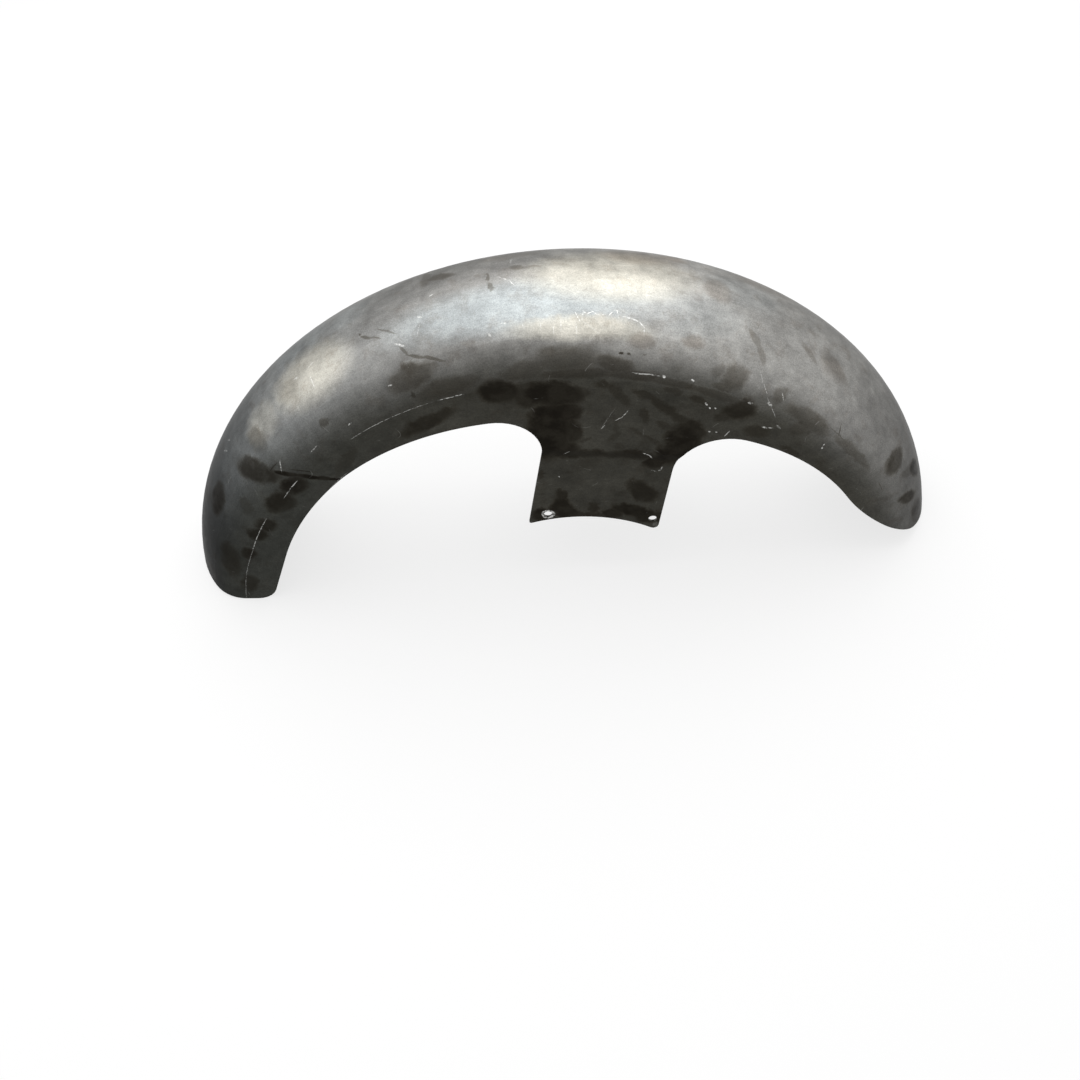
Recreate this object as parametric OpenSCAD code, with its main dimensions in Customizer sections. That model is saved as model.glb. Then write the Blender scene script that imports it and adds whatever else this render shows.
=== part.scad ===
// Front fender of a motorcycle, pressed from one steel sheet.
// It is worked out round the wheel axis and then stood on its two ends:
// x runs along the fender towards its front tip, y across it, z up.

/* [Sheet and crown] */
// Radius of the crown line, from the wheel axis to the top of the sheet
crown_radius = 375; // [340:1:410]
// Width over the two flat sides
fender_width = 141; // [124:1:160]
// Height of the rounded crown above the flat sides
crown_rise = 48; // [44:0.5:54]
// Radius of the shoulders where the crown turns into the flat sides
shoulder_radius = 37.5; // [28:0.5:40]
// Thickness of the steel sheet
sheet = 2; // [1:0.1:3]

/* [Rear skirt] */
// Depth of the side below the crown line along the rear
rear_skirt_depth = 84.2; // [70:0.1:95]
// Angle round the wheel at which the rear skirt starts to taper to the tail
taper_start = 166.5; // [158:0.5:171]
// Height of the tail cut above the wheel axis
tail_height = -3; // [-12:0.5:12]
// Radius of the lower corner of the tail
tail_corner = 19.5; // [10:0.5:24]

/* [Rear web] */
// Crown radius less the radius of the rear web's edge
web_inset = 137; // [131:0.5:143]
// How far the centre of the rear web's edge lies behind the wheel axis
web_back = 45.5; // [40:0.5:50]
// How far the centre of the rear web's edge lies above the wheel axis
web_up = 28; // [23:0.5:33]
// Radius of the fillet between the rear web and the leg
rear_fillet = 42; // [32:0.5:50]

/* [Front skirt and tip] */
// Crown radius less the radius of the front skirt's edge
front_inset = 152.5; // [146:0.5:158]
// How far the centre of the front edge lies ahead of the wheel axis
front_ahead = 79; // [73:0.5:85]
// How far the centre of the front edge lies above the wheel axis
front_up = 28.5; // [23:0.5:33]
// Radius of the fillet between the front skirt and the leg
front_fillet = 48; // [38:0.5:54]
// Angle round the wheel at which the tip's cut leaves the crown line
tip_angle = 13; // [9:0.5:18]
// Slope of the tip's cut, up from level
tip_slope = 28.5; // [24:0.5:33]
// Radius that blends the front skirt's edge into the tip's cut
tip_blend = 170; // [120:5:200]

/* [Mounting legs] */
// Width of each leg between its two edges, at the foot
leg_width = 127; // [116:0.5:138]
// How far the middle of the foot lies ahead of the wheel axis
leg_ahead = 17.5; // [10:0.5:25]
// Forward lean of the leg's rear edge, going up
rear_edge_lean = 3; // [0:0.2:5]
// Forward lean of the leg's front edge, going up
front_edge_lean = 1.8; // [0:0.2:4]
// Distance from the crown line down to the arch of the foot
leg_drop = 247.5; // [235:0.5:262]
// Radius of the arch of the foot
foot_arch = 138; // [125:1:170]
// How far the centre of the arch lies ahead of the wheel axis
arch_ahead = 7.5; // [2:0.5:13]
// Radius of the foot's front corner
foot_corner_front = 5; // [3:0.5:7]
// Radius of the foot's rear corner
foot_corner_rear = 2; // [1:0.5:4]
// Depth by which the lower leg is set in from the side
set_in = 2; // [1:0.25:4]
// Height of the sloping band that carries the set-in
set_in_band = 9; // [7:0.5:14]
// Distance from the crown line down to the set-in, at the middle of the leg
set_in_drop = 151.5; // [148:0.5:175]
// Slope of the set-in across the leg
set_in_slope = 3; // [0:0.5:7]

/* [Mounting holes] */
// Diameter of each mounting hole
hole_d = 8.2; // [5:0.1:9]
// Distance from the leg's rear edge at the foot to the rear hole's centre
rear_hole_inset = 17; // [12:0.1:26]
// Distance from the rear hole's centre to the edge of the foot
rear_hole_land = 8.2; // [6:0.1:14]
// Distance from the leg's front edge at the foot to the front hole's centre
front_hole_inset = 7.5; // [6.5:0.1:14]
// Distance from the front hole's centre to the edge of the foot
front_hole_land = 12.4; // [8:0.1:18]

/* [Hidden] */
$fn = 128;

// A cutter's or a lap's reach past the face that it has to clear
past = 5;
// How far the crown's arc is let into the shoulders, so that the arcs cross
seat = 0.002;
// Longest straight step along an arc of the side view
chord = 6;
// Facet count of the great arcs round the wheel
fn_wheel = 240;

// The section across the fender: radius from the wheel axis against y
half_width = fender_width / 2;
flat_top = crown_radius - crown_rise;
shoulder_y = half_width - shoulder_radius;
crown_arc = (half_width * half_width + crown_rise * crown_rise - 2 * half_width * shoulder_radius)
    / (2 * (crown_rise - shoulder_radius));
crown_arc_at = crown_radius - crown_arc;
// Angle off the crown line at which the crown's arc meets the shoulder's
shoulder_angle = atan2(shoulder_y, flat_top - crown_arc_at);

// Circles of the side's lower edge, in x and z round the wheel axis
rear_edge_r = crown_radius - rear_skirt_depth;
web_r = crown_radius - web_inset;
web_c = [-web_back, web_up];
front_r = crown_radius - front_inset;
front_c = [front_ahead, front_up];
arch_c = [arch_ahead, crown_radius - leg_drop - foot_arch];

// The leg's two edges, as lines in x and z from the level of the foot's arch
foot_level = arch_c.y + foot_arch;
front_foot = [leg_ahead + leg_width / 2, foot_level];
rear_foot = [leg_ahead - leg_width / 2, foot_level];
// Radius of the open middle of the turned channel, well inside the feet
core_r = foot_level / 2;
front_edge_angle = 90 - front_edge_lean;
rear_edge_angle = 90 - rear_edge_lean;

// Tip: where its cut leaves the crown line, and the arc that blends it into the front edge
tip_point = crown_radius * [cos(tip_angle), sin(tip_angle)];
tip_normal = [sin(tip_slope), cos(tip_slope)];
tip_blend_c = line_to_circle(tip_point + tip_blend * tip_normal, -tip_slope, front_c, front_r + tip_blend, 1);
// Fillets beside the leg
front_fillet_c = line_to_circle(front_foot + front_fillet * side_of(front_edge_angle), front_edge_angle,
    front_c, front_r - front_fillet, 1);
rear_fillet_c = line_to_circle(rear_foot - rear_fillet * side_of(rear_edge_angle), rear_edge_angle,
    web_c, web_r - rear_fillet, 1);
// Corners of the foot
front_corner_c = line_to_circle(front_foot - foot_corner_front * side_of(front_edge_angle), front_edge_angle,
    arch_c, foot_arch + foot_corner_front, 1);
rear_corner_c = line_to_circle(rear_foot + foot_corner_rear * side_of(rear_edge_angle), rear_edge_angle,
    arch_c, foot_arch + foot_corner_rear, 1);
// Where the web's edge runs into the rear skirt's edge
web_meets_skirt = circles_cross(web_c, web_r, rear_edge_r);
// Tail: the tapered edge, a tangent to the skirt's edge, and its corner
taper_point = rear_edge_r * [cos(taper_start), sin(taper_start)];
taper_angle = taper_start - 90;
tail_corner_c = [
    taper_point.x - tail_corner * sin(taper_angle)
        - (taper_point.y - tail_corner * -cos(taper_angle) - tail_height - tail_corner) / tan(taper_angle),
    tail_height + tail_corner
];
tail_point = [-sqrt(crown_radius * crown_radius - tail_height * tail_height), tail_height];

// Standing: the tilt that brings the tip and the tail's corners down to one floor
to_tip = tip_point - tail_corner_c;
stand_tilt = atan2(to_tip.x, -to_tip.y) - acos(tail_corner / norm(to_tip));
axis_height = -tilted(tip_point).y;
middle_x = (tilted(tip_point).x + tilted(tail_point).x) / 2;

// Mounting holes, in x and z round the wheel axis
rear_hole = off_the_arch(rear_foot.x + rear_hole_inset, rear_hole_land);
front_hole = off_the_arch(front_foot.x - front_hole_inset, front_hole_land);

// Unit vector to the right of a line that runs at this angle
function side_of(angle) = [sin(angle), -cos(angle)];
// A vector's direction
function unit(v) = v / norm(v);
// The point where a line through p at an angle meets a circle, on its near or far crossing
function line_to_circle(p, angle, c, r, way) =
    let (u = [cos(angle), sin(angle)], foot = p + ((c - p) * u) * u, off = norm(c - foot))
    foot + way * sqrt(r * r - off * off) * u;
// The upper crossing of a circle with one round the wheel axis
function circles_cross(c, r, wheel_r) =
    let (d = norm(c), turn = acos((wheel_r * wheel_r + d * d - r * r) / (2 * wheel_r * d)))
    wheel_r * [cos(atan2(c.y, c.x) - turn), sin(atan2(c.y, c.x) - turn)];
// Point of a line through p at an angle that lies nearest to c
function foot_on_line(c, p, angle) =
    let (u = [cos(angle), sin(angle)])
    p + ((c - p) * u) * u;
// The point where a circle touches another that it runs into
function touch(c, r, other) = c + r * unit(other - c);
// The points of the leg's two edges that lie nearest to c
function on_front_edge(c) = foot_on_line(c, front_foot, front_edge_angle);
function on_rear_edge(c) = foot_on_line(c, rear_foot, rear_edge_angle);
// The shorter of the two ways round by this angle
function short_turn(angle) = angle > 180 ? angle - 360 : angle < -180 ? angle + 360 : angle;
// Points on the arc round c from p to q
function arc(c, p, q) =
    let (
        r = norm(p - c),
        start = atan2(p.y - c.y, p.x - c.x),
        turn = short_turn(atan2(q.y - c.y, q.x - c.x) - start),
        steps = max(4, ceil(r * abs(turn) * PI / 180 / chord))
    )
    [for (i = [0:steps]) c + r * [cos(start + turn * i / steps), sin(start + turn * i / steps)]];
// A list of points with each repeat of the one before it left out
function without_repeats(points) =
    [for (i = [0:len(points) - 1]) if (i == 0 || norm(points[i] - points[i - 1]) > 0.001) points[i]];
// A point of the side view after the fender is tilted to stand
function tilted(p) = [
    p.x * cos(stand_tilt) + p.y * sin(stand_tilt),
    p.y * cos(stand_tilt) - p.x * sin(stand_tilt)
];
// The point at this x that lies this far above the arch's edge, measured square to the arch
function off_the_arch(x, land) = [x, arch_c.y + sqrt(pow(foot_arch + land, 2) - pow(x - arch_c.x, 2))];

// Section across the fender, filled down to foot_r: flat sides, shoulders and crown, grown in by the inset
module section(inset, foot_r) {
    y_side = half_width - inset;
    // Long enough for the wedge's far side to clear the crown's arc
    wedge_r = 2 * crown_arc;
    translate([foot_r, -y_side]) square([flat_top - foot_r, 2 * y_side]);
    for (side = [-1, 1])
        translate([flat_top, side * shoulder_y])
            circle(shoulder_radius - inset);
    translate([crown_arc_at, 0])
        intersection() {
            circle(crown_arc - seat - inset);
            polygon([[0, 0], wedge_r * [cos(shoulder_angle), -sin(shoulder_angle)],
                [wedge_r, 0], wedge_r * [cos(shoulder_angle), sin(shoulder_angle)]]);
        }
}

// The pressed channel turned right round the wheel axis, before its edges are cut
module channel() {
    rotate([90, 0, 0])
        rotate_extrude($fn = fn_wheel)
            difference() {
                section(0, core_r);
                section(sheet, core_r - past);
            }
}

// The side view's lower edge, from the tip's cut round the leg to the tail's cut
lower_edge = concat(
    arc(tip_blend_c, tip_blend_c - tip_blend * tip_normal, touch(front_c, front_r, tip_blend_c)),
    arc(front_c, touch(front_c, front_r, tip_blend_c), touch(front_c, front_r, front_fillet_c)),
    arc(front_fillet_c, touch(front_c, front_r, front_fillet_c), on_front_edge(front_fillet_c)),
    arc(front_corner_c, on_front_edge(front_corner_c), touch(arch_c, foot_arch, front_corner_c)),
    arc(arch_c, touch(arch_c, foot_arch, front_corner_c), touch(arch_c, foot_arch, rear_corner_c)),
    arc(rear_corner_c, touch(arch_c, foot_arch, rear_corner_c), on_rear_edge(rear_corner_c)),
    arc(rear_fillet_c, on_rear_edge(rear_fillet_c), touch(web_c, web_r, rear_fillet_c)),
    arc(web_c, touch(web_c, web_r, rear_fillet_c), web_meets_skirt),
    arc([0, 0], web_meets_skirt, taper_point),
    arc(tail_corner_c, foot_on_line(tail_corner_c, taper_point, taper_angle), tail_corner_c - [0, tail_corner])
);

// Side view of the whole sheet, open above the crown
module side_outline() {
    reach = crown_radius + past;
    tip_end = tip_point + past * [cos(tip_slope), -sin(tip_slope)];
    polygon(concat([[reach, reach], [reach, tip_end.y], tip_end], without_repeats(lower_edge),
        [[-reach, tail_height], [-reach, reach]]));
}

// The side view as a block through the whole width
module side_block() {
    rotate([90, 0, 0])
        linear_extrude(height = fender_width + 2 * past, center = true)
            side_outline();
}

// Moves to the middle of the set-in's upper edge and turns along it
module at_set_in() {
    translate([leg_ahead, 0, crown_radius - set_in_drop])
        rotate([0, set_in_slope, 0])
            children();
}

// All that lies below the set-in, from the rear edge to the front fillet
module below_set_in() {
    length = leg_width + 2 * front_fillet;
    at_set_in()
        translate([-length / 2, -half_width - past, -leg_drop])
            cube([length, fender_width + 2 * past, leg_drop]);
}

// The lower legs on both sides, bent in by the set-in and run straight down
module lower_legs() {
    length = leg_width + 2 * front_fillet;
    outer = half_width - set_in;
    intersection() {
        at_set_in()
            for (side = [-1, 1])
                mirror([0, side < 0 ? 1 : 0, 0])
                    translate([-length / 2, 0, 0])
                        rotate([90, 0, 90])
                            linear_extrude(height = length)
                                polygon([[half_width, past], [half_width, 0], [outer, -set_in_band],
                                    [outer, -leg_drop], [outer - sheet, -leg_drop],
                                    [outer - sheet, -set_in_band], [half_width - sheet, 0],
                                    [half_width - sheet, past]]);
        side_block();
    }
}

// One mounting hole through both legs
module mounting_hole(at) {
    translate([at.x, 0, at.y])
        rotate([90, 0, 0])
            cylinder(h = fender_width + 2 * past, d = hole_d, center = true);
}

// The whole fender as one sheet, stood on its tip and the corners of its tail
module fender_shell() {
    color([0.45, 0.45, 0.44])
        translate([-middle_x, 0, axis_height])
            rotate([0, stand_tilt, 0])
                difference() {
                    union() {
                        difference() {
                            intersection() {
                                channel();
                                side_block();
                            }
                            below_set_in();
                        }
                        lower_legs();
                    }
                    mounting_hole(rear_hole);
                    mounting_hole(front_hole);
                }
}

fender_shell();
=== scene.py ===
"""Bare steel front fender of a motorcycle: finish, floor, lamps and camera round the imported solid.

Lengths are in metres in the row frame: x runs from the tail to the front tip, y to the far side, z up.
A place on the sheet is given as the angle round the wheel from straight up, positive towards the tip,
and the way across the outer surface from the crown line, positive down the near side.
"""

import math

import bpy
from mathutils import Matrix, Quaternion, Vector

bl_info = {
    "name": "Bare Steel Front Fender",
    "version": (1, 0, 0),
    "blender": (4, 5, 0),
    "location": "3D View > Sidebar > Fender",
    "description": "Dresses the fender in bare steel and sets it in a plain studio",
    "category": "Object",
}

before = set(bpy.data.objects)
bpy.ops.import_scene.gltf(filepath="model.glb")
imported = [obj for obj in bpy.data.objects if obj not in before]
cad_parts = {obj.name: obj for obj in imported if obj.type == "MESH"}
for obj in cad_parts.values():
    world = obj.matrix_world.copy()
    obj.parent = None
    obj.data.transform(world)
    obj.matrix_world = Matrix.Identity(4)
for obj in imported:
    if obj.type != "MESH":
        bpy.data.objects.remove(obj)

MM = 0.001
SHELL = "fender_shell"

# The part's own sizes, as its source has them
CROWN_RADIUS = 375 * MM
CROWN_RISE = 48 * MM
HALF_WIDTH = 70.5 * MM
SHOULDER_RADIUS = 37.5 * MM
STAND_TILT = math.radians(7.328)
WHEEL_AXIS = Vector((-0.428 * MM, 0.0, -37.063 * MM))

# The section's arcs, worked out from those sizes
FLAT_TOP = CROWN_RADIUS - CROWN_RISE
SHOULDER_Y = HALF_WIDTH - SHOULDER_RADIUS
CROWN_ARC = (HALF_WIDTH**2 + CROWN_RISE**2 - 2 * HALF_WIDTH * SHOULDER_RADIUS) / (
    2 * (CROWN_RISE - SHOULDER_RADIUS)
)
SHOULDER_ANGLE = math.atan2(SHOULDER_Y, FLAT_TOP - CROWN_RADIUS + CROWN_ARC)
CROWN_GIRTH = CROWN_ARC * SHOULDER_ANGLE
SIDE_GIRTH = CROWN_GIRTH + SHOULDER_RADIUS * (math.pi / 2 - SHOULDER_ANGLE)
# From the middle plane out, where marks of the near side start and where they have their full strength
NEAR_SIDE = (-45 * MM, -60 * MM)

# Places ahead of the wheel axis and above it, and radii, in millimetres
REAR_HOLE = (-29.0, 131.1)
RING_RADIUS = 6.3
RING_EDGE = 0.7
RING_STRENGTH = 0.75


def on_crown(angle, across):
    """A place given by its angle and way across: how far along and down, and the radius as a share."""
    down = max(0.0, abs(across) - SIDE_GIRTH / MM)
    drop = CROWN_RISE / MM
    if not down:
        drop *= (across * MM / SIDE_GIRTH) ** 2
    radius = CROWN_RADIUS / MM - drop - down
    return math.radians(angle) * CROWN_RADIUS / MM, across, radius * MM / CROWN_RADIUS


def on_side(x, z):
    """A place on the flat side, given ahead of the wheel axis and above it."""
    return x, -z, 1.0


# Oil marks on the near side: angle, across, half length, half width, turn and strength.
# Lengths are in millimetres and angles in degrees. The turn goes from the crown line downwards.
SMUDGES = (
    # tail
    (-71.2, 41, 17, 12, 0, 1.0),
    (-59.2, 63, 26, 10.5, 50, 0.8),
    (-56.9, 101, 12, 11, 0, 0.92),
    (-62.0, 101, 15, 12, 0, 0.8),
    (-77.3, 95, 8, 8, -40, 0.8),
    (-71.6, 98, 9, 9, 0, 0.8),
    (-68.6, 101, 9, 10, 0, 0.8),
    (-87.8, 51, 12, 8, 0, 0.8),
    (-82.5, 56, 4, 4, 0, 0.45),
    (-80.5, 78, 22, 11, -12, 0.6),
    (-74.6, 19, 20, 8, 50, 0.4),
    (-66.3, 75, 9, 7, -40, 0.3),
    (-55.8, 42, 15, 10, 70, 0.35),
    (-86.0, 100, 12, 8, 0, 0.6),
    # crown behind the leg
    (-27.6, 68.5, 21, 10.5, -5, 0.62),
    (-21.4, -28.5, 13, 6, 8, 0.5),
    (-23.6, -36, 16, 4, 90, 0.35),
    (-14.6, -10, 4.5, 1.7, 80, 0.5),
    (-14.2, 3, 5.5, 2.4, 80, 0.5),
    (-10.6, -17.5, 6.5, 4.2, 10, 0.4),
    (-8.6, -16.5, 8, 1.8, 0, 0.25),
    (-33.2, 12, 1.8, 1.2, 40, 0.6),
    (-23.2, 88, 26, 9, 0, 0.4),
    (-28.3, 85, 1.8, 3, 0, 0.6),
    (-43.0, 71.5, 5.5, 4, 0, 0.45),
    (-47.0, 25, 12, 11, 0, 0.2),
    (-46.5, 117, 22, 5, -15, 0.3),
    (-29.1, 120, 27, 7.5, -8, 0.75),
    (-4.7, 79, 27, 11, 4, 0.42),
    (2.2, 84, 17, 7.5, 15, 0.62),
    (-11.0, 86, 20, 9, -8, 0.35),
    # crown over the leg and ahead of it
    (3.4, 72, 2.2, 1.3, 0, 0.8),
    (4.3, 73.5, 1.5, 0.9, 0, 0.7),
    (6.4, 73, 2.6, 0.7, 0, 0.5),
    (20.9, 79, 12, 11, 60, 0.5),
    (17.8, 77, 6, 6, 0, 0.3),
    (29.0, 80, 7.5, 6, 90, 0.38),
    (30.9, 125, 12, 8, -20, 0.5),
    (56.9, 59, 14.5, 11.5, 100, 0.75),
    (37.0, 30, 20, 7, 25, 0.2),
    (64.3, 33, 15, 8, -32, 1.0),
    (61.6, 51, 11, 4, -52, 0.35),
    (66.2, 61, 15, 6, -48, 0.85),
    (72.6, 47, 20, 11, -20, 0.95),
    (36.4, 87, 26, 8, 4, 0.45),
    (36.8, 100, 10, 8, 0, 0.32),
    (39.9, 126, 12, 4, 0, 0.45),
    (48.0, 85, 28, 5, 0, 0.4),
)
# Drips and rubbed streaks: width and strength, then the angles and ways across that they run through
STREAKS = (
    (5.5, 1.0, (-56.2, 78), (-54.3, 96), (-52.9, 112), (-51.9, 121)),
    (3.5, 1.0, (-53.6, 100), (-52.5, 118), (-50.6, 130)),
    (1.2, 0.8, (-57.0, 73.5), (-54.8, 74)),
    (1.4, 0.8, (-54.0, 86), (-52.2, 103)),
    (3.4, 0.55, (-33.0, 15.5), (-31.9, 20.5)),
    (1.8, 0.45, (-32.2, 19), (-30.2, 25.5)),
    (1.8, 0.4, (-30.6, 14.5), (-28.0, 26)),
    (2.6, 0.5, (-27.6, 41), (-26.8, 50), (-24.6, 56)),
    (3.2, 0.5, (-24.6, 55.5), (-22.1, 64)),
    (0.7, 0.5, (-26.3, 54), (-30.6, 75)),
    (11, 0.5, (-8.0, 94), (2.0, 94), (9.0, 96)),
    (9, 0.4, (8.0, 97), (16.0, 100), (24.0, 102)),
    (6.5, 0.32, (21.8, 35), (23.2, 45), (24.4, 58)),
    (6, 0.25, (30.7, 26), (32.9, 36)),
    (1.0, 0.6, (41.9, 75), (43.2, 84)),
    (1.2, 0.4, (40.5, 82), (47.0, 83)),
    (0.8, 0.35, (57.6, 84), (60.0, 85)),
)
# Bright scratches, each as a width and a strength and the places that it runs through
SCRATCHES = (
    (0.6, 0.25, (-90.0, 94), (-84.0, 95), (-76.5, 97.5)),
    (0.7, 0.5, (-76.3, 97.6), (-71.5, 97.6), (-67.4, 98)),
    (0.8, 0.6, (-58.0, 100), (-55.8, 99.6)),
    (0.8, 0.4, (-60.4, 101), (-58.0, 100)),
    (0.7, 0.35, (-41.6, 99.5), (-39.0, 99)),
    (0.6, 0.45, (-39.2, 99), (-34.0, 98.6), (-27.0, 99)),
    (0.9, 0.6, (-24.8, 99.6), (-22.6, 100.6)),
    (0.9, 0.6, (-22.3, 100.2), (-21.2, 100.4)),
    (0.6, 0.4, (5.2, 92), (6.4, 92.2)),
    (0.9, 0.65, (6.8, 92.8), (7.9, 92.1)),
    (0.9, 0.6, (8.3, 92.9), (8.8, 92.4)),
    (0.8, 0.5, (9.1, 93), (9.6, 92.6)),
    (0.7, 0.8, (-3.3, 38), (-2.6, 48)),
    (0.7, 0.9, (-2.4, 45), (-2.2, 38), (-1.6, 40), (-0.9, 38), (-0.3, 41), (0.7, 41)),
    (0.7, 0.9, (1.3, 41), (2.0, 36.6), (2.4, 37), (2.5, 43)),
    (0.9, 1.0, (3.3, 42), (4.4, 43.5), (5.4, 46), (6.1, 50), (6.1, 56)),
    (0.8, 0.6, (-6.3, 50), (-6.3, 56)),
    (0.8, 0.6, (-5.2, 45), (-5.3, 54)),
    (0.7, 0.6, (-3.2, 48), (-3.2, 60)),
    (0.6, 0.45, (-2.1, 48), (-0.2, 57)),
    (0.8, 0.5, (-8.0, 47), (-8.0, 53)),
    (0.8, 0.5, (-10.5, 45), (-10.2, 50)),
    (0.7, 0.85, (-13.0, -7), (-11.6, 0), (-11.1, 6)),
    (0.7, 0.6, (4.1, -4), (4.1, 4)),
    (0.8, 0.5, (5.0, 13), (5.1, 19)),
    (1.5, 0.6, (-11.3, -36), (-11.4, -28)),
    (0.6, 0.5, (24.3, 67), (25.4, 75), (27.0, 83)),
    (0.6, 0.4, (27.6, 87), (29.3, 94), (31.1, 101)),
    (2.2, 0.6, (28.3, 91), (28.9, 92)),
    (0.8, 0.5, (29.2, 77), (30.0, 82)),
    (1.2, 0.7, (42.8, 99), (42.9, 100)),
    (1.3, 0.7, (43.2, 102.5), (43.4, 104)),
    (1.6, 0.6, (31.2, 117.8), (31.8, 117)),
    (1.2, 0.5, (32.2, 115.5), (32.8, 114)),
    (1.6, 0.5, (33.0, 109.5), (33.8, 110.5)),
    (2.0, 0.5, (25.4, 98.5), (25.9, 98)),
    (1.1, 0.7, (-42.4, 27), (-42.1, 39)),
    (0.9, 0.5, (-42.6, 17), (-41.3, 14)),
    (1.6, 0.6, (-45.3, 19), (-44.7, 19)),
    (1.4, 0.6, (-39.9, 85.4), (-39.4, 84.8)),
    (0.9, 0.4, (-48.6, 87), (-47.0, 85.5)),
    (1.2, 0.7, (-30.9, 69), (-30.5, 69.4)),
    (1.8, 0.8, (-28.1, 36.5), (-27.1, 40.5)),
    (1.8, 0.6, (-24.4, 17.6), (-24.0, 18.8)),
    (0.7, 0.5, (-24.8, 34), (-24.4, 27)),
    (1.2, 0.7, (-22.6, -2.4), (-22.1, -4)),
    (1.2, 0.5, (-64.6, 15), (-63.8, 19)),
    (1.0, 0.4, (-63.1, 9.6), (-62.4, 13)),
    (1.0, 0.5, (-53.9, 74), (-55.2, 81)),
    (1.4, 0.55, (-15.1, 50), (-14.9, 52)),
    (1.4, 0.6, (-13.2, 42.4), (-12.6, 43)),
    (1.4, 0.5, (-12.4, 46.4), (-12.0, 45.6)),
    (0.8, 0.3, (-54.0, 130), (-49.0, 129)),
)
# The same on the flat near side, with places ahead of the wheel axis and above it in millimetres
SIDE_SMUDGES = (
    (-84, 303, 18, 14, 5, 0.9),
    (-38, 300, 28, 15, 4, 0.95),
    (-35, 310, 12, 8, 0, 0.8),
    (-60, 296, 14, 12, 30, 0.7),
    (-37, 252, 38, 19, 88, 0.97),
    (-24, 276, 14, 12, 0, 0.9),
    (-18, 252, 16, 11, 80, 0.8),
    (-28, 228, 20, 13, 0, 0.85),
    (87, 242, 22, 16, 75, 0.92),
    (92, 254, 15, 11, 40, 0.8),
    (82, 224, 20, 16, -50, 0.95),
    (66, 209, 12, 9, -30, 0.9),
    (46, 275, 8.5, 5, 70, 0.5),
    (67, 260, 11, 4, 42, 0.4),
    (28, 232, 5, 4, 0, 0.3),
    (70, 305, 7, 4, 10, 0.4),
    (95, 292, 9, 3.5, 20, 0.4),
    (133, 281, 15, 12, -10, 0.75),
    (120, 272, 10, 5, -20, 0.4),
    (112, 311, 10, 4.5, 25, 0.4),
    (-16, 142, 12, 10, 80, 0.85),
    (-18.5, 156, 13, 6, 82, 0.8),
    (-11, 133, 12, 8, 10, 0.85),
    (-35, 131, 11, 8.5, 0, 0.92),
    (14.5, 141, 9.5, 5.5, 72, 0.6),
    (58, 166, 19, 10, 48, 0.75),
    (47, 139, 14, 8, 12, 0.9),
    (63, 131, 15, 8.5, 28, 0.9),
    (33, 132, 9, 6, 0, 0.8),
    (76, 127, 8, 7, 60, 0.8),
    (10, 129, 16, 3.5, 0, 0.6),
    (-40, 191, 6, 2, 90, 0.5),
    (2, 206, 9, 7, 0, 0.2),
)
SIDE_STREAKS = (
    (9, 0.5, (2, 314), (11, 311), (28, 292)),
    (7, 0.5, (36, 306), (50, 296), (63, 286)),
    (9, 0.55, (62, 287), (74, 276), (88, 262)),
    (5, 0.32, (36, 256), (50, 247), (62, 236)),
    (5, 0.32, (21, 264), (24, 252), (19, 241)),
    (5, 0.35, (0, 242), (-11, 236)),
    (12, 0.75, (-30, 221), (20, 220), (60, 218)),
    (0.8, 0.5, (92, 312), (100, 298)),
)
SIDE_SCRATCHES = (
    (0.8, 0.5, (22, 267), (27, 271), (31, 278.5)),
    (0.8, 0.45, (10, 256), (12.5, 260)),
    (0.9, 0.8, (53, 222.5), (58, 219.5), (61, 215)),
    (0.9, 0.5, (70, 196), (72, 197.5), (72.5, 201)),
    (0.8, 0.35, (63.5, 196.5), (67.5, 195)),
    (1.6, 0.9, (99.8, 290.2), (101.2, 288)),
    (1.4, 0.8, (104, 284.3), (104.8, 283.2)),
    (1.4, 0.8, (109, 284), (109.8, 283.2)),
    (1.9, 1.0, (57.4, 324), (58.6, 322)),
    (2.0, 1.0, (83.4, 319.3), (84.6, 317.9)),
    (1.2, 0.6, (34, 326.5), (48, 325.5)),
    (1.2, 0.5, (108.6, 253), (109.6, 252.4)),
    (1.3, 0.5, (115.2, 252.4), (115.9, 251.8)),
    (1.0, 0.45, (124, 247), (127, 253)),
    (1.6, 0.5, (138.5, 291), (141.5, 290)),
    (1.2, 0.5, (-22.8, 187), (-22.2, 186.2)),
    (0.8, 0.4, (-20.5, 220), (-16.5, 224)),
    (0.5, 0.12, (19, 281), (10, 257)),
    (5.0, 0.08, (76.5, 118), (77.5, 114)),
)
# Painted highlights, warm or cool, lighter patches that stand for the lamps and sky reflected on the crown,
# and brown stains, given like the oil marks
WARM_HIGHLIGHTS = (
    (2.0, -6, 54, 24, 0, 0.9),
    (-2.5, 52, 44, 8, 2, 0.85),
    (-42.5, 24, 34, 21, 0, 0.7),
    (-53.5, 33, 18, 14, 0, 0.35),
)
COOL_HIGHLIGHTS = (
    (-10.0, 27, 90, 19, 0, 0.9),
    (8.0, 30, 60, 18, 0, 0.4),
    (-45.0, -22, 26, 16, 0, 0.4),
    (-36.0, -24, 18, 14, 0, 0.3),
    (21.0, -8, 30, 14, 0, 0.3),
)
BROWN_PATCHES = (
    (13.2, 56, 9, 6, 0, 0.5),
    (6.0, 61, 11, 6, 0, 0.45),
    (7.9, 46, 8, 5, 0, 0.25),
    (17.0, -2, 12, 12, 0, 0.5),
    (6.5, -36, 30, 14, 0, 0.5),
    (11.5, -44, 13, 9, 0, 0.6),
    (36.8, 32, 15, 10, 0, 0.3),
    (-12.0, -46, 24, 8, 0, 0.3),
    (26.0, -40, 30, 12, 0, 0.35),
)
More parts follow.
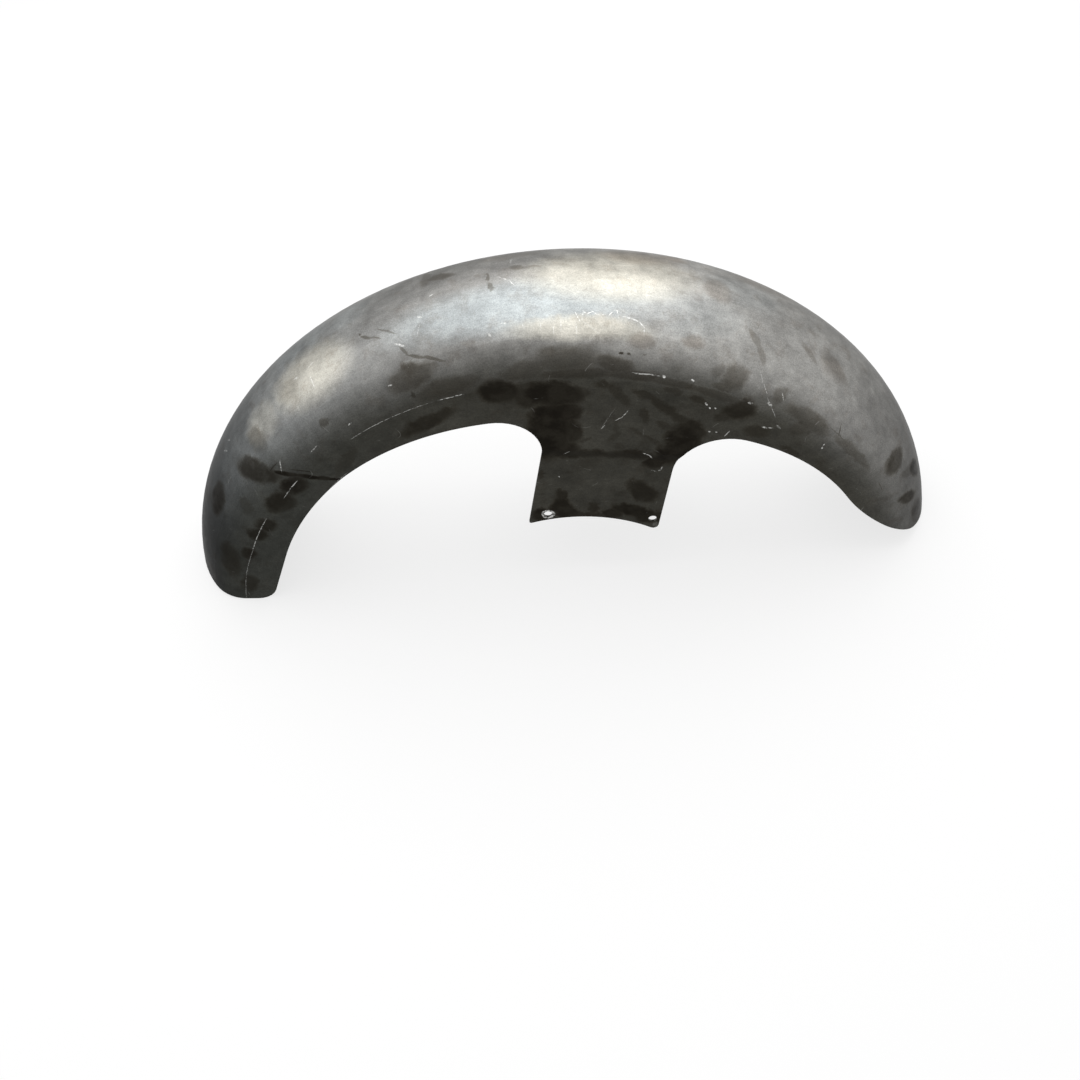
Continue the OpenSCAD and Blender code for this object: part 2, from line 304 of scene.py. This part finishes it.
# How the crown's painted light runs round the wheel, a painted highlight near the top and painted shade on
# the tail: angle and brightness
PAINTED_LIGHT_ROUND = (
    (-92, 0.018), (-82, 0.014), (-72, 0.036), (-60, 0.13), (-50, 0.24), (-40, 0.26), (-28, 0.24),
    (-10, 0.27), (2, 0.35), (16, 0.41), (30, 0.33), (46, 0.23), (60, 0.16), (80, 0.08),
)
ROUND_RANGE = (-95.0, 82.0)
# How far the crown's painted highlight carries down the sheet before the painted shade of the sides: way
# across in millimetres and share
PAINTED_LIGHT_ACROSS = (
    (-98, 0.0), (-88, 0.15), (-74, 0.6), (-58, 1.4), (-45, 1.55), (-28, 1.4), (-10, 1.2),
    (20, 1.0), (46, 0.98), (58, 0.87), (68, 0.53), (78, 0.2), (88, 0.1), (98, 0.0),
)
ACROSS_RANGE = (-100.0, 100.0)
# How much further down the painted highlight carries on the front half: from one angle to another, by these
# millimetres
CARRY = (-25, 45, 0.0, 15.0)
# Angles between which the tail's tint turns into the crown's
TINT_ANGLES = (-75, -15)
# Ways across between which the clouds of oil on the far side come in
FAR_OIL_ACROSS = (-40.0, -75.0)

# Swells of each noise in a metre
CLOUDS = 16
HAIRS = 17
FAR_OIL = 20
BLOTCHES = 60
RAGGED = 60
FINE_RAGGED = 330
GAPS = 560
TOOTH = 900
# Swells of the rubbing in a millimetre, along the crown and across it
RUBBING = (0.07, 0.24, 1.0)
# The values that most of a noise lies between, and how much rubbing and other noises shade the steel there
NOISE_RANGE = (0.3, 0.7)
RUBBING_SHADE = (0.9, 1.1)
GRAIN_SHADE = (0.8, 1.2)
# Where a noise passes from the first value to the second, a strength goes from the third to the fourth
MOTTLE_STAIN = (0.5, 0.68, 0.0, 0.3)
FAR_OIL_CLOUD = (0.5, 0.68, 0.0, 0.75)
OIL_FEATHER = (0.35, 0.6, 0.7, 1.0)
SCRATCH_GAP = (0.42, 0.56, 0.12, 1.0)
HAIR_PATCH = (0.54, 0.62, 0.0, 0.12)
# How near to its middle value a noise draws a hairline
HAIR_WIDTH = 0.0035

# How far the edges of each kind of mark wander, in millimetres
PAINTED_LIGHT_WANDER = 7.0
PATCH_WANDER = 16.0
SMUDGE_WANDER = 16.0
SIDE_WANDER = 18.0
STREAK_WANDER = 5.0
RING_WANDER = 5.0
SCRATCH_WANDER = 1.2
# How soft those edges are, as a share of the mark's half size
PATCH_EDGE = 0.75
STAIN_EDGE = 0.5
SMUDGE_EDGE = 0.36
STREAK_EDGE = 0.35
SIDE_SMUDGE_EDGE = 0.32
SIDE_STREAK_EDGE = 0.5
SCRATCH_EDGE = 0.5

# How squarely the surface looks outwards: a cut edge up to the first of these, a face from the second
CUT_OUT = 0.2
FACE_OUT = 0.5

# How the light meets the steel
METALLIC = 0.9
ROUGHNESS = (0.36, 0.46)
OIL_SMOOTHING = 0.05
GLOSS = 0.2
GLOSS_TINT = (0.5, 0.5, 0.5)
TOOTH_SHARE = 0.4
BUMP_STRENGTH = 0.2
BUMP_HEIGHT = 0.15 * MM

# Place and size of each lamp, and the point that both look at
TOP_LAMP = ((0.05, 0.45, 1.5), (1.9, 1.7))
LEFT_LAMP = ((-1.36, 0.22, 0.95), (0.5, 0.5))
LAMP_AIM = Vector((0.0, 0.0, 0.2))
FLOOR_REACH = 20.0
FLOOR_GREY = (0.3, 0.3, 0.3)
# Glow of the floor where it lights the fender, and where the camera or a reflection sees it
FLOOR_GLOW = (0.55, 0.72)
SKY_GREY = (0.6, 0.6, 0.6)
WHITE = (1.0, 1.0, 1.0)


def colour(name, description, default):
    """A colour setting."""
    return bpy.props.FloatVectorProperty(
        name=name, description=description, subtype="COLOR", size=3, min=0.0, max=1.0, default=default
    )


def share(name, description, default, high=1.0):
    """A setting from none upwards."""
    return bpy.props.FloatProperty(
        name=name, description=description, subtype="FACTOR", min=0.0, max=high, default=default
    )


def angle(name, description, degrees):
    """An angle setting, given in degrees."""
    return bpy.props.FloatProperty(
        name=name, description=description, subtype="ANGLE", default=math.radians(degrees)
    )


def power(name, description, watts):
    """A lamp's power setting."""
    return bpy.props.FloatProperty(
        name=name, description=description, unit="POWER", min=0.0, default=watts
    )


class FinishSettings(bpy.types.PropertyGroup):
    """Colours and amounts of the bare steel finish"""

    # Painted shade: the side colour is dark to stand for the dark ground that the sides and legs reflect
    side: colour("Side steel", "Colour of the shaded steel on the sides and legs", (0.042, 0.041, 0.036))
    crown: colour("Crown tint", "Tint of the steel on the crown", (1.0, 0.985, 0.94))
    tail: colour("Tail tint", "Tint of the steel on the tail", (0.87, 0.92, 0.93))
    # Painted highlights: the warm and cool colours stand for the lamps and sky reflected on the crown
    warm: colour("Warm rubbing", "Colour of the warm light patches on the crown", (0.50, 0.48, 0.42))
    cool: colour("Cool rubbing", "Colour of the cool light patches on the crown", (0.33, 0.355, 0.36))
    brown: colour("Brown stain", "Tint of the brown stains on the crown", (0.55, 0.47, 0.40))
    oil: colour("Oil", "Colour of the dark oil marks", (0.0075, 0.0062, 0.0045))
    oil_edge: colour("Oil edge", "Tint of the steel where the oil is thin", (1.0, 0.92, 0.80))
    bare: colour("Bare metal", "Colour of scratches and bare spots", (0.72, 0.72, 0.70))
    cut: colour("Cut edge", "Colour of the sheet's cut edges", (0.16, 0.155, 0.145))
    inside: colour("Inside", "Colour of the sheet's inner face", (0.085, 0.083, 0.078))
    # Painted highlight: scales the crown's painted light
    tone: share("Crown tone", "Brightness of the crown", 1.0, 2.0)
    smudges: share("Smudges", "Strength of the oil marks", 1.0)
    scratches: share("Scratches", "Strength of the bright scratches", 1.0)


class StageSettings(bpy.types.PropertyGroup):
    """Camera and lamps of the studio"""

    azimuth: angle("Azimuth", "Heading of the camera, from straight in front of the near side", 1.525)
    elevation: angle("Elevation", "Height of the camera above the horizon", 52.152)
    roll: angle("Roll", "Turn of the camera about its own line of sight", -5.708)
    distance: bpy.props.FloatProperty(
        name="Distance",
        description="Distance from the camera to the point that it looks at",
        subtype="DISTANCE",
        unit="LENGTH",
        default=1428.7 * MM,
    )
    aim: bpy.props.FloatVectorProperty(
        name="Aim",
        description="Point that the camera looks at",
        subtype="TRANSLATION",
        unit="LENGTH",
        size=3,
        default=(-21.98 * MM, -97.59 * MM, 94.65 * MM),
    )
    lens: bpy.props.FloatProperty(
        name="Lens",
        description="Focal length in millimetres, on a film 36 mm wide",
        default=50.0,
    )
    top_lamp: power("Top lamp", "Power of the broad lamp above the fender", 15.5)
    left_lamp: power("Left lamp", "Power of the small lamp beside the tail", 2.2)


SINGLE_VALUED = ("LENGTH", "DISTANCE", "DOT_PRODUCT")


class Recipe:
    """Adds nodes to one tree and links them, so that a finish reads from top to bottom."""

    def __init__(self, tree):
        self.tree = tree
        tree.nodes.clear()

    def node(self, kind, feeds=(), **settings):
        """A node with these settings, whose inputs are linked or filled with these feeds."""
        made = self.tree.nodes.new(kind)
        for name, value in settings.items():
            setattr(made, name, value)
        for key, value in dict(feeds).items():
            if isinstance(value, bpy.types.NodeSocket):
                self.tree.links.new(value, made.inputs[key])
            else:
                made.inputs[key].default_value = value
        return made

    def math(self, operation, a, b=0.0, c=0.0):
        return self.node("ShaderNodeMath", {0: a, 1: b, 2: c}, operation=operation).outputs[0]

    def vector(self, operation, a, b=(0.0, 0.0, 0.0), scale=1.0):
        made = self.node("ShaderNodeVectorMath", {0: a, 1: b, 3: scale}, operation=operation)
        return made.outputs["Value" if operation in SINGLE_VALUED else "Vector"]

    def ramp(self, value, low, high, start=0.0, end=1.0, smooth=True):
        """A value between low and high, turned into one between start and end."""
        return self.node(
            "ShaderNodeMapRange",
            {"Value": value, 1: low, 2: high, 3: start, 4: end},
            interpolation_type="SMOOTHSTEP" if smooth else "LINEAR",
        ).outputs[0]

    def spread(self, noise, start, end):
        """A noise, spread evenly between these two values."""
        return self.ramp(noise, *NOISE_RANGE, start, end, smooth=False)

    def mix(self, factor, a, b, blend="MIX"):
        return self.node(
            "ShaderNodeMix", {0: factor, 6: a, 7: b}, data_type="RGBA", blend_type=blend
        ).outputs[2]

    def noise(self, place, scale, detail=2.0, roughness=0.5, output="Fac"):
        return self.node(
            "ShaderNodeTexNoise",
            {"Vector": place, "Scale": scale, "Detail": detail, "Roughness": roughness},
        ).outputs[output]

    def combined(self, x, y, z):
        return self.node("ShaderNodeCombineXYZ", {0: x, 1: y, 2: z}).outputs[0]

    def parts(self, vector):
        return self.node("ShaderNodeSeparateXYZ", {0: vector}).outputs

    def stops(self, value, stops, low, high):
        """A curve of brightness through these stops, over a value that runs from low to high."""
        made = self.node(
            "ShaderNodeValToRGB", {"Fac": self.ramp(value, low, high, smooth=False)}
        )
        band = made.color_ramp
        band.interpolation = "B_SPLINE"
        while len(band.elements) < len(stops):
            band.elements.new(0.5)
        for element, (at, level) in zip(band.elements, stops):
            element.position = (at - low) / (high - low)
            element.color = rgba((level, level, level))
        return made.outputs["Color"]

    def warped(self, place, push, amount):
        """The place pushed about by up to half this amount, so that edges turn ragged."""
        push = self.vector("SUBTRACT", push, (0.5, 0.5, 0.5))
        return self.vector("ADD", place, self.vector("MULTIPLY", push, (amount, amount, 0.0)))

    def oval(self, place, so_far, at, half_length, half_width, turn, soft, strength):
        """Adds one oval mark to the marks so far: strength inside it, nothing outside."""
        along, down, stretch = at
        rows = []
        for half, x, y in (
            (half_length, math.cos(turn), math.sin(turn)),
            (half_width, -math.sin(turn), math.cos(turn)),
        ):
            x = x * stretch / half
            y = y / half
            rows.append((x, y, -x * along - y * down))
        feeds = {
            "Place": place,
            "Along": rows[0],
            "Across": rows[1],
            "Outer": (1 + soft) ** 2,
            "Inner": (1 - soft) ** 2,
            "Strength": strength,
            "So Far": so_far,
        }
        return self.node("ShaderNodeGroup", feeds, node_tree=oval_group()).outputs[0]

    def ovals(self, place, so_far, where, marks, soft):
        """Oval marks, each given by its place on the sheet, its half sizes and its turn."""
        for first, second, length, width, turn, strength in marks:
            at = where(first, second)
            so_far = self.oval(place, so_far, at, length, width, math.radians(turn), soft, strength)
        return so_far

    def lines(self, place, so_far, where, marks, soft):
        """Marks drawn from place to place on the sheet, each stretch a little past its ends."""
        for width, strength, *route in marks:
            for start, end in zip(route, route[1:]):
                a, b = where(*start), where(*end)
                stretch = (a[2] + b[2]) / 2
                along, down = (b[0] - a[0]) * stretch, b[1] - a[1]
                at = ((a[0] + b[0]) / 2, (a[1] + b[1]) / 2, stretch)
                half = math.hypot(along, down) / 2 + width / 3
                turn = math.atan2(down, along)
                so_far = self.oval(place, so_far, at, half, width / 2, turn, soft, strength)
        return so_far


def oval_group():
    """The node group that draws one oval: its square distance from the middle, turned into a strength."""
    group = bpy.data.node_groups.get("oval mark")
    if group:
        return group
    group = bpy.data.node_groups.new("oval mark", "ShaderNodeTree")
    for name in ("Place", "Along", "Across"):
        group.interface.new_socket(name, in_out="INPUT", socket_type="NodeSocketVector")
    for name in ("Outer", "Inner", "Strength", "So Far"):
        group.interface.new_socket(name, in_out="INPUT", socket_type="NodeSocketFloat")
    group.interface.new_socket("Mark", in_out="OUTPUT", socket_type="NodeSocketFloat")
    recipe = Recipe(group)
    given = recipe.node("NodeGroupInput").outputs
    along = recipe.vector("DOT_PRODUCT", given["Place"], given["Along"])
    across = recipe.vector("DOT_PRODUCT", given["Place"], given["Across"])
    square = recipe.math("MULTIPLY", along, along)
    square = recipe.math("MULTIPLY_ADD", across, across, square)
    mark = recipe.ramp(square, given["Outer"], given["Inner"], 0.0, given["Strength"])
    stronger = recipe.math("MAXIMUM", mark, given["So Far"])
    recipe.node("NodeGroupOutput", {0: stronger})
    return group


def rgba(colour):
    """A colour with nothing see-through about it."""
    return (*colour, 1.0)


class Sheet:
    """Where the surface is on the sheet, worked out from its place and normal.

    angle is in degrees round the wheel, and across in millimetres from the crown line. Marks are drawn at
    the places crown and side. near is one on the near side, and out is one where the surface looks
    outwards, nothing on a cut edge and minus one on the inner face.
    """

    def __init__(self, recipe):
        here = recipe.node("ShaderNodeTexCoord").outputs
        self.place = here["Object"]
        local = recipe.vector("SUBTRACT", self.place, WHEEL_AXIS)
        parts = recipe.parts(local)
        radial = recipe.vector("MULTIPLY", local, (1.0, 0.0, 1.0))
        radius = recipe.vector("LENGTH", radial)
        half = recipe.math("SIGN", parts["Y"])
        reach = recipe.math("ABSOLUTE", parts["Y"])
        past_shoulder = recipe.math("SUBTRACT", reach, SHOULDER_Y)
        above_flat = recipe.math("SUBTRACT", radius, FLAT_TOP)
        girth = self.girth(recipe, radius, reach, past_shoulder, above_flat)
        outward = self.outward(recipe, radial, half, past_shoulder, above_flat)
        turn = recipe.math("ARCTAN2", parts["X"], parts["Z"])
        self.angle = recipe.math("MULTIPLY_ADD", turn, 180 / math.pi, -math.degrees(STAND_TILT))
        self.across = recipe.math("MULTIPLY", recipe.math("MULTIPLY", girth, -1 / MM), half)
        self.crown = self.crown_place(recipe)
        self.side = self.side_place(recipe, local)
        self.near = recipe.ramp(parts["Y"], *NEAR_SIDE)
        self.out = recipe.vector("DOT_PRODUCT", outward, here["Normal"])

    def girth(self, recipe, radius, reach, past_shoulder, above_flat):
        """The way from the crown line over the crown's arc, the shoulder's arc and down the flat."""
        from_crown = recipe.math("SUBTRACT", radius, CROWN_RADIUS - CROWN_ARC)
        lean = recipe.math("MINIMUM", recipe.math("ARCTAN2", reach, from_crown), SHOULDER_ANGLE)
        bend = recipe.math("ARCTAN2", past_shoulder, above_flat)
        bend = recipe.math("SUBTRACT", bend, SHOULDER_ANGLE)
        bend = recipe.math("MINIMUM", recipe.math("MAXIMUM", bend, 0.0), math.pi / 2 - SHOULDER_ANGLE)
        down = recipe.math("MAXIMUM", recipe.math("SUBTRACT", FLAT_TOP, radius), 0.0)
        girth = recipe.math("MULTIPLY_ADD", lean, CROWN_ARC, down)
        return recipe.math("MULTIPLY_ADD", bend, SHOULDER_RADIUS, girth)

    def outward(self, recipe, radial, half, past_shoulder, above_flat):
        """The way out of the channel: away from the wheel axis on the crown, sideways on the flats."""
        height = recipe.math("MAXIMUM", above_flat, 0.0)
        up = recipe.vector("SCALE", recipe.vector("NORMALIZE", radial), scale=height)
        sideways = recipe.math("MULTIPLY", half, recipe.math("MAXIMUM", past_shoulder, 0.0))
        sideways = recipe.combined(0.0, sideways, 0.0)
        return recipe.vector("NORMALIZE", recipe.vector("ADD", up, sideways))

    def crown_place(self, recipe):
        """Along the crown line and down from it, in millimetres."""
        along = recipe.math("MULTIPLY", self.angle, math.radians(CROWN_RADIUS / MM))
        return recipe.combined(along, self.across, 1.0)

    def side_place(self, recipe, local):
        """Ahead of the wheel axis and down from it in millimetres, with the stand's tilt taken out."""
        ahead = (math.cos(STAND_TILT) / MM, 0.0, -math.sin(STAND_TILT) / MM)
        above = (math.sin(STAND_TILT) / MM, 0.0, math.cos(STAND_TILT) / MM)
        side_x = recipe.vector("DOT_PRODUCT", local, ahead)
        side_z = recipe.vector("DOT_PRODUCT", local, above)
        return recipe.combined(side_x, recipe.math("MULTIPLY", side_z, -1.0), 1.0)


class Grain:
    """Grain of the steel: broad clouds, blotches, rubbing along the crown and a fine tooth.

    shade darkens and lightens the steel by them. push and fine_push make the edges of marks ragged.
    """

    def __init__(self, recipe, sheet):
        self.clouds = recipe.noise(sheet.place, CLOUDS, detail=4.0, roughness=0.6)
        self.blotches = recipe.noise(sheet.place, BLOTCHES, detail=4.0, roughness=0.65)
        rubbed = recipe.vector("MULTIPLY", sheet.crown, RUBBING)
        self.rubbing = recipe.noise(rubbed, 1.0, detail=4.0, roughness=0.75)
        self.tooth = recipe.noise(sheet.place, TOOTH, detail=2.0, roughness=0.7)
        self.push = recipe.noise(sheet.place, RAGGED, detail=5.0, roughness=0.68, output="Color")
        self.push_parts = recipe.parts(self.push)
        self.fine_push = recipe.noise(sheet.place, FINE_RAGGED, detail=3.0, output="Color")
        self.shade = recipe.spread(self.rubbing, *RUBBING_SHADE)
        for noise in (self.clouds, self.blotches, self.tooth):
            self.shade = recipe.math("MULTIPLY", self.shade, recipe.spread(noise, *GRAIN_SHADE))


class FENDER_OT_finish(bpy.types.Operator):
    """Gives the fender its bare steel finish"""

    bl_idname = "fender.finish"
    bl_label = "Finish the Fender"

    def execute(self, context):
        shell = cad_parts[SHELL]
        if not shell.material_slots:
            raise RuntimeError("the fender has no material slot to fill")
        material = bpy.data.materials.new("bare steel")
        material.use_nodes = True
        self.steel(Recipe(material.node_tree), context.scene.fender_finish)
        for slot in shell.material_slots:
            slot.material = material
        return {"FINISHED"}

    def steel(self, recipe, look):
        """The whole finish: steel with its painted highlight and shade, then oil, then scratches, with the
        inside and cut edges plain.
        """
        sheet = Sheet(recipe)
        grain = Grain(recipe, sheet)
        steel = self.steel_with_painted_light(recipe, look, sheet, grain)
        oil = self.oil(recipe, look, sheet, grain)
        steel = recipe.mix(oil, steel, rgba(look.oil_edge), "MULTIPLY")
        steel = recipe.mix(oil, steel, rgba(look.oil))
        steel = recipe.mix(self.bare_metal(recipe, look, sheet, grain), steel, rgba(look.bare))
        inside = recipe.vector("SCALE", look.inside[:], scale=grain.shade)
        steel = recipe.mix(recipe.ramp(sheet.out, CUT_OUT, FACE_OUT), inside, steel)
        not_outer = recipe.ramp(sheet.out, FACE_OUT, CUT_OUT)
        not_inner = recipe.ramp(sheet.out, -FACE_OUT, -CUT_OUT)
        steel = recipe.mix(recipe.math("MULTIPLY", not_outer, not_inner), steel, rgba(look.cut))
        self.surface(recipe, steel, oil, grain)

    def steel_with_painted_light(self, recipe, look, sheet, grain):
        """Colour of the steel: the crown's painted highlight, its painted highlight patches and brown
        stains, and how they fade into the painted shade of the sides.
        """
        # Painted highlight and painted shade: the crown's colour is bright where it would reflect the sky
        # and lamps, and fades to the dark side colour where the sides and tail would reflect the ground
        wander = recipe.spread(grain.clouds, -PAINTED_LIGHT_WANDER, PAINTED_LIGHT_WANDER)
        carried = recipe.ramp(sheet.angle, *CARRY)
        reach = recipe.math("SUBTRACT", recipe.math("ADD", sheet.across, wander), carried)
        painted_light_share = recipe.stops(reach, PAINTED_LIGHT_ACROSS, *ACROSS_RANGE)
        tone = recipe.stops(sheet.angle, PAINTED_LIGHT_ROUND, *ROUND_RANGE)
        tone = recipe.vector("SCALE", tone, scale=look.tone)
        steel = recipe.mix(painted_light_share, rgba(look.side), tone)
        tint = recipe.mix(recipe.ramp(sheet.angle, *TINT_ANGLES), rgba(look.tail), rgba(look.crown))
        steel = recipe.vector("MULTIPLY", steel, tint)
        # Painted highlights: warm and cool patches on the crown that stand for the lamps and sky reflected
        # there
        drifted = recipe.warped(sheet.crown, grain.push, PATCH_WANDER)
        for patches, tint in ((COOL_HIGHLIGHTS, look.cool), (WARM_HIGHLIGHTS, look.warm)):
            painted_highlight = recipe.ovals(drifted, 0.0, on_crown, patches, PATCH_EDGE)
            steel = recipe.mix(recipe.math("MULTIPLY", painted_highlight, painted_light_share), steel, rgba(tint))
        brown = recipe.ovals(drifted, 0.0, on_crown, BROWN_PATCHES, STAIN_EDGE)
        mottle = recipe.ramp(grain.push_parts["Y"], *MOTTLE_STAIN)
        brown = recipe.math("MAXIMUM", brown, mottle)
        steel = recipe.mix(brown, steel, rgba(look.brown), "MULTIPLY")
        return recipe.vector("SCALE", steel, scale=grain.shade)

    def oil(self, recipe, look, sheet, grain):
        """Where oil lies: smudges and drips on the near side, and plain clouds on the unseen far side."""
        ragged = recipe.warped(sheet.crown, grain.push, SMUDGE_WANDER)
        oil = recipe.ovals(ragged, 0.0, on_crown, SMUDGES, SMUDGE_EDGE)
        ragged = recipe.warped(sheet.crown, grain.push, STREAK_WANDER)
        oil = recipe.lines(ragged, oil, on_crown, STREAKS, STREAK_EDGE)
        ragged = recipe.warped(sheet.side, grain.push, SIDE_WANDER)
        side_oil = recipe.ovals(ragged, 0.0, on_side, SIDE_SMUDGES, SIDE_SMUDGE_EDGE)
        side_oil = recipe.lines(ragged, side_oil, on_side, SIDE_STREAKS, SIDE_STREAK_EDGE)
        oil = recipe.math("MAXIMUM", oil, recipe.math("MULTIPLY", side_oil, sheet.near))
        far_oil = recipe.noise(sheet.place, FAR_OIL, detail=5.0, roughness=0.7)
        far_oil = recipe.ramp(far_oil, *FAR_OIL_CLOUD)
        far_oil = recipe.math("MULTIPLY", far_oil, recipe.ramp(sheet.across, *FAR_OIL_ACROSS))
        oil = recipe.math("MULTIPLY", recipe.math("MAXIMUM", oil, far_oil), look.smudges)
        return recipe.math("MULTIPLY", oil, recipe.ramp(grain.blotches, *OIL_FEATHER))

    def bare_metal(self, recipe, look, sheet, grain):
        """Where bare metal shows: scratches, the ring round the rear hole, and hairlines all over."""
        nicked = recipe.warped(sheet.crown, grain.fine_push, SCRATCH_WANDER)
        scratches = recipe.lines(nicked, 0.0, on_crown, SCRATCHES, SCRATCH_EDGE)
        nicked = recipe.warped(sheet.side, grain.fine_push, SCRATCH_WANDER)
        side_scratches = recipe.lines(nicked, 0.0, on_side, SIDE_SCRATCHES, SCRATCH_EDGE)
        ragged = recipe.warped(sheet.side, grain.push, RING_WANDER)
        off_hole = recipe.vector("DISTANCE", ragged, on_side(*REAR_HOLE))
        ring = recipe.ramp(off_hole, RING_RADIUS + RING_EDGE, RING_RADIUS - RING_EDGE, 0.0, RING_STRENGTH)
        side_scratches = recipe.math("MAXIMUM", side_scratches, ring)
        side_scratches = recipe.math("MULTIPLY", side_scratches, sheet.near)
        scratches = recipe.math("MAXIMUM", scratches, side_scratches)
        broken = recipe.ramp(recipe.noise(sheet.place, GAPS, detail=2.0), *SCRATCH_GAP)
        scratches = recipe.math("MULTIPLY", recipe.math("MULTIPLY", scratches, broken), look.scratches)
        hair = recipe.math("SUBTRACT", recipe.noise(sheet.place, HAIRS, detail=1.0), 0.5)
        hair = recipe.ramp(recipe.math("ABSOLUTE", hair), HAIR_WIDTH, 0.0)
        hair = recipe.math("MULTIPLY", hair, recipe.ramp(grain.push_parts["X"], *HAIR_PATCH))
        hair = recipe.math("MULTIPLY", hair, look.scratches)
        return recipe.math("MAXIMUM", scratches, hair)

    def surface(self, recipe, steel, oil, grain):
        """The steel's colour, roughness and fine relief, given to the shader."""
        rough = recipe.spread(grain.blotches, *ROUGHNESS)
        rough = recipe.math("SUBTRACT", rough, recipe.math("MULTIPLY", oil, OIL_SMOOTHING))
        height = recipe.math("ADD", grain.rubbing, grain.blotches)
        height = recipe.math("MULTIPLY_ADD", grain.tooth, TOOTH_SHARE, height)
        relief = {"Height": height, "Strength": BUMP_STRENGTH, "Distance": BUMP_HEIGHT}
        looks = {
            "Base Color": steel,
            "Metallic": METALLIC,
            "Roughness": rough,
            "Specular IOR Level": GLOSS,
            "Specular Tint": rgba(GLOSS_TINT),
            "Normal": recipe.node("ShaderNodeBump", relief).outputs[0],
        }
        shader = recipe.node("ShaderNodeBsdfPrincipled", looks)
        recipe.node("ShaderNodeOutputMaterial", {"Surface": shader.outputs[0]})


class FENDER_OT_stage(bpy.types.Operator):
    """Builds the floor, the lamps, the surroundings and the camera"""

    bl_idname = "fender.stage"
    bl_label = "Set the Stage"

    def execute(self, context):
        scene = context.scene
        stage = scene.fender_stage
        scene.view_settings.view_transform = "Standard"
        self.surroundings(scene)
        self.floor(scene)
        self.lamp(scene, "top lamp", *TOP_LAMP, stage.top_lamp)
        self.lamp(scene, "left lamp", *LEFT_LAMP, stage.left_lamp)
        self.camera(scene, stage)
        return {"FINISHED"}

    def seen(self, recipe):
        """One where the camera, a reflection or a see-through part sees the background, else nothing."""
        rays = recipe.node("ShaderNodeLightPath").outputs
        seen = recipe.math("MAXIMUM", rays["Is Camera Ray"], rays["Is Glossy Ray"])
        return recipe.math("MAXIMUM", seen, rays["Is Transmission Ray"])

    def surroundings(self, scene):
        """A world that is white to look at and lights the fender softly."""
        world = bpy.data.worlds.new("studio")
        world.use_nodes = True
        scene.world = world
        recipe = Recipe(world.node_tree)
        soft = recipe.node("ShaderNodeBackground", {"Color": rgba(SKY_GREY)})
        white = recipe.node("ShaderNodeBackground", {"Color": rgba(WHITE)})
        both = recipe.node(
            "ShaderNodeMixShader", {0: self.seen(recipe), 1: soft.outputs[0], 2: white.outputs[0]}
        )
        recipe.node("ShaderNodeOutputWorld", {"Surface": both.outputs[0]})

    def floor(self, scene):
        """A flat floor that fades into the white and keeps the fender's shadow."""
        mesh = bpy.data.meshes.new("floor")
        corners = [(x * FLOOR_REACH, y * FLOOR_REACH, 0) for x, y in ((-1, -1), (1, -1), (1, 1), (-1, 1))]
        mesh.from_pydata(corners, [], [(0, 1, 2, 3)])
        floor = bpy.data.objects.new("floor", mesh)
        scene.collection.objects.link(floor)
        mesh.materials.append(self.pale_floor())

    def pale_floor(self):
        """The floor's material: matt, with a glow that brings it near white."""
        material = bpy.data.materials.new("pale floor")
        material.use_nodes = True
        recipe = Recipe(material.node_tree)
        brightness = recipe.ramp(self.seen(recipe), 0.0, 1.0, *FLOOR_GLOW, smooth=False)
        matt = recipe.node("ShaderNodeBsdfDiffuse", {"Color": rgba(FLOOR_GREY)})
        glow = recipe.node("ShaderNodeEmission", {"Color": rgba(WHITE), "Strength": brightness})
        both = recipe.node("ShaderNodeAddShader", {0: matt.outputs[0], 1: glow.outputs[0]})
        recipe.node("ShaderNodeOutputMaterial", {"Surface": both.outputs[0]})
        return material

    def lamp(self, scene, name, place, size, watts):
        """A flat lamp that looks at the fender."""
        light = bpy.data.lights.new(name, "AREA")
        light.shape = "RECTANGLE"
        light.size, light.size_y = size
        light.energy = watts
        lamp = bpy.data.objects.new(name, light)
        lamp.location = place
        lamp.rotation_euler = (LAMP_AIM - Vector(place)).to_track_quat("-Z", "Y").to_euler()
        scene.collection.objects.link(lamp)

    def camera(self, scene, stage):
        """The camera, set back from the point that it looks at and rolled about its line of sight."""
        flat = math.cos(stage.elevation)
        back = Vector(
            (math.sin(stage.azimuth) * flat, -math.cos(stage.azimuth) * flat, math.sin(stage.elevation))
        )
        data = bpy.data.cameras.new("camera")
        data.lens = stage.lens
        camera = bpy.data.objects.new("camera", data)
        camera.location = Vector(stage.aim) + back * stage.distance
        turn = (-back).to_track_quat("-Z", "Y") @ Quaternion((0, 0, 1), stage.roll)
        camera.rotation_euler = turn.to_euler()
        scene.collection.objects.link(camera)
        scene.camera = camera


class FENDER_PT_panel(bpy.types.Panel):
    """Lists the settings and the steps that dress the fender"""

    bl_label = "Front Fender"
    bl_idname = "FENDER_PT_panel"
    bl_space_type = "VIEW_3D"
    bl_region_type = "UI"
    bl_category = "Fender"

    def draw(self, context):
        layout = self.layout
        for settings, step in (
            (context.scene.fender_finish, FENDER_OT_finish.bl_idname),
            (context.scene.fender_stage, FENDER_OT_stage.bl_idname),
        ):
            for name in settings.__annotations__:
                layout.prop(settings, name)
            layout.operator(step)


CLASSES = (FinishSettings, StageSettings, FENDER_OT_finish, FENDER_OT_stage, FENDER_PT_panel)


def register():
    for each in CLASSES:
        bpy.utils.register_class(each)
    bpy.types.Scene.fender_finish = bpy.props.PointerProperty(type=FinishSettings)
    bpy.types.Scene.fender_stage = bpy.props.PointerProperty(type=StageSettings)


def unregister():
    del bpy.types.Scene.fender_stage
    del bpy.types.Scene.fender_finish
    for each in reversed(CLASSES):
        bpy.utils.unregister_class(each)


def main():
    register()
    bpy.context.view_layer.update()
    bpy.ops.fender.finish()
    bpy.ops.fender.stage()


if __name__ == "__main__":
    main()
